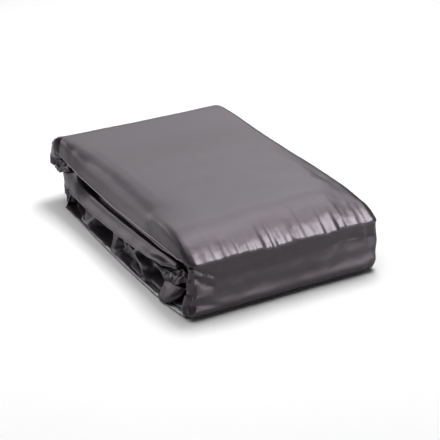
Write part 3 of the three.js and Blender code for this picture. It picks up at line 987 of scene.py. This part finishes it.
def spline_sheet(name, seed, rough, scale, *rows):
    """A sheet through rows of points (x, y, z) in mm, from bottom to top, crumpled by rough, with creases of
    about scale."""
    per_span = 7
    grid = catmull(np.swapaxes(catmull(rows, per_span), 0, 1), per_span)
    points = np.swapaxes(grid, 0, 1) * MM
    normal = unit(np.cross(np.gradient(points, axis=1), np.gradient(points, axis=0)))
    if normal[..., 0].mean() > 0:
        normal = -normal
    bend = creased(points.reshape(-1, 3), scale, seed).reshape(points.shape[:2]) - 0.5
    points = points + normal * (bend * rough)[..., None]
    both = np.concatenate([points, points - normal * SHEET_THICKNESS]).reshape(-1, 3)
    place = np.arange(points[..., 0].size).reshape(points.shape[:2])
    half = place.size
    faces = []
    for low, high in zip(place.tolist(), place[1:].tolist()):
        for a, a2, b2, b in zip(low, low[1:], high[1:], high):
            faces += [(a, a2, b2, b), (half + b, half + b2, half + a2, half + a)]
    rim = np.concatenate([place[0], place[1:, -1], place[-1, -2::-1], place[-2:0:-1, 0]]).tolist()
    for a, b in zip(rim, rim[1:] + rim[:1]):
        faces.append((b, a, half + a, half + b))
    return make_object(name, both, faces, shell)


gusset = folded_sheet("lower_pleats", GUSSET)
foot_curl = spline_sheet(
    "foot_curl", 31, 0.5 * MM, 0.03,
    ((-221, -207, 4), (-225, -222, 5), (-224, -238, 6), (-215, -250, 9), (-200, -248, 8)),
    ((-214, -209, 21), (-216, -228, 23), (-214, -252, 26), (-205, -268, 28), (-192, -262, 26)),
    ((-203, -205, 34), (-203, -222, 39), (-201, -244, 42), (-196, -268, 45), (-187, -276, 46)),
)
foot_crumple = spline_sheet(
    "foot_crumple", 32, 5 * MM, 0.026,
    ((-208, -240, 50), (-214, -256, 54), (-214, -272, 58), (-206, -280, 62), (-198, -286, 62)),
    ((-203, -236, 57), (-207, -252, 64), (-208, -268, 70), (-204, -280, 74), (-198, -288, 74)),
    ((-196, -226, 62), (-199, -244, 72), (-200, -260, 80), (-199, -276, 84), (-194, -284, 82)),
)
head_crumple = spline_sheet(
    "head_crumple", 36, 6 * MM, 0.028,
    ((-204, 306, 80), (-210, 294, 74), (-214, 276, 76), (-211, 258, 84), (-204, 236, 92)),
    ((-203, 309, 90), (-212, 294, 86), (-212, 278, 90), (-208, 260, 96), (-202, 236, 99)),
    ((-198, 309, 100), (-205, 294, 100), (-204, 278, 105), (-198, 260, 107), (-194, 236, 106)),
)
foot_edge = spline_sheet(
    "foot_edge", 33, 1.5 * MM, 0.012,
    ((-209, -176, 58), (-211, -200, 54), (-211, -222, 52), (-209, -240, 54)),
    ((-200, -174, 62), (-201, -198, 61), (-201, -220, 61), (-199, -240, 63)),
)
front_tab = spline_sheet(
    "front_tab", 34, 2 * MM, 0.03,
    ((-205, -288, 6), (-212, -291, 8), (-217, -302, 9), (-212, -310, 8), (-203, -312, 8)),
    ((-205, -290, 25), (-213, -293, 27), (-219, -306, 32), (-212, -314, 33), (-202, -316, 32)),
    ((-202, -294, 44), (-209, -296, 46), (-213, -308, 52), (-208, -316, 54), (-200, -317, 52)),
)
front_strip = spline_sheet(
    "front_strip", 35, 3 * MM, 0.032,
    ((-200, -297, 44), (-208, -300, 46), (-211, -308, 48), (-207, -315, 48), (-200, -318, 46)),
    ((-200, -299, 66), (-207, -301, 66), (-211, -308, 68), (-207, -314, 70), (-200, -317, 70)),
    ((-200, -299, 88), (-206, -301, 88), (-209, -307, 90), (-206, -314, 92), (-200, -317, 92)),
    ((-200, -300, 104), (-205, -302, 105), (-207, -307, 106), (-205, -313, 107), (-200, -316, 107)),
)

# ---- small parts from the CAD

SMALL_PARTS = (
    # what a node's name ends with, and its material
    ("_inlet", grained("inlet_plastic", (0.02, 0.02, 0.022), 0.45, 1800)),
    ("_inlet_pins", grained("contact_metal", (0.62, 0.58, 0.5), 0.25, 900, metallic=1.0, depth=0.05)),
    ("_sensor", grained("sensor_resin", (0.03, 0.022, 0.018), 0.3, 700)),
    ("_thermal_cutout", grained("cutout_case", (0.5, 0.5, 0.52), 0.35, 1200, metallic=1.0)),
)
for ending, material in SMALL_PARTS:
    for zone in ("head_zone", "foot_zone"):
        part = bpy.data.objects[zone + ending]
        part.data.materials.clear()
        part.data.materials.append(material)

# ---- the CAD parts that the new pieces stand in for are hidden, and the small pieces move with the CAD's bodies


def nodes_named(*prefixes):
    return [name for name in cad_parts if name.startswith(prefixes)]


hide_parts(*nodes_named("top_", "front_", "head_outer", "head_inner"))
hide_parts(*nodes_named("lower_"))
for piece in (gusset, foot_curl, foot_crumple, foot_edge, lower_hem, floor_edge):
    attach(piece, "lower")
for piece in (front_tab, front_strip):
    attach(piece, "front")
for piece in (head_crumple, head_outer_edge, head_inner_edge):
    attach(piece, "top")
for piece in (upper, upper_hem, upper_inner_hem, inner_edge):
    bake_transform(piece)
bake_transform(lower)

# ---- floor and light


FLOOR_HALF = 8  # metres from its middle to its edges


def make_stage():
    material, nodes, shader = principled("floor_paper")
    feed(shader, Base_Color=shaded(nodes, (1, 1, 1), 0.88, 0.9, object_noise(nodes, scale=3, detail=2)))
    feed(shader, Roughness=0.9, Specular_IOR_Level=0.1)
    corners = [(x * FLOOR_HALF, y * FLOOR_HALF, 0) for x, y in ((-1, -1), (1, -1), (1, 1), (-1, 1))]
    floor = make_object("floor", corners, [(0, 1, 2, 3)], material)
    world = bpy.data.worlds.new("studio")
    bpy.context.scene.world = world
    world.use_nodes = True
    feed(world.node_tree.nodes["Background"], Color=(1, 1, 1, 1), Strength=0.07)


SHEEN_TINT = (0.99, 0.965, 1.0)
LIT_POINT = Vector((0, 0, 0.1))


def softbox(name, direction, distance, width, length, power, matte=True, gloss=True):
    """A light facing the object from a direction, in metres and watts: width is along X, length across it.
    Without matte it only shows as a sheen, and without gloss it only lights softly."""
    data = bpy.data.lights.new(name, "AREA")
    data.shape = "RECTANGLE"
    data.size, data.size_y = width, length
    data.energy = power
    if not matte:
        data.color = SHEEN_TINT
    light = link(name, data)
    toward = Vector(direction).normalized()
    across = (Vector((1, 0, 0)) - toward * toward.x).normalized()
    along = toward.cross(across)
    turn = Matrix((across, along, toward)).transposed().to_4x4()
    light.matrix_world = Matrix.Translation(LIT_POINT + toward * distance) @ turn
    light.visible_camera = False
    light.visible_diffuse = matte
    light.visible_glossy = gloss


make_stage()
softbox("key", (0.3, 0.2, 0.93), 3.3, 1.2, 1.4, 80, gloss=False)
softbox("ceiling", (-0.12, 0.1, 0.98), 3.0, 4.0, 4.0, 84, gloss=False)
softbox("edge_sheen", (0.464, -0.365, 0.807), 3.3, 1.6, 1.35, 160, matte=False)
softbox("over_front", (0.444, 0.19, 0.875), 3.3, 1.8, 1.6, 38, matte=False)
softbox("over_back", (0.444, 0.45, 0.77), 3.6, 2.2, 3.4, 44, matte=False)
softbox("over_left", (-0.1, 0.15, 0.98), 3.3, 2.4, 1.6, 55, matte=False)
softbox("backdrop", (0.12, 0.8, 0.52), 4.2, 5.5, 3.6, 76, matte=False)
softbox("backdrop_left", (-0.55, 0.78, 0.28), 3.4, 2.2, 1.4, 24, matte=False)
softbox("front_card", (0.45, -0.88, 0.1), 1.4, 1.4, 0.3, 11, matte=False)
bpy.context.scene.view_settings.view_transform = "Standard"
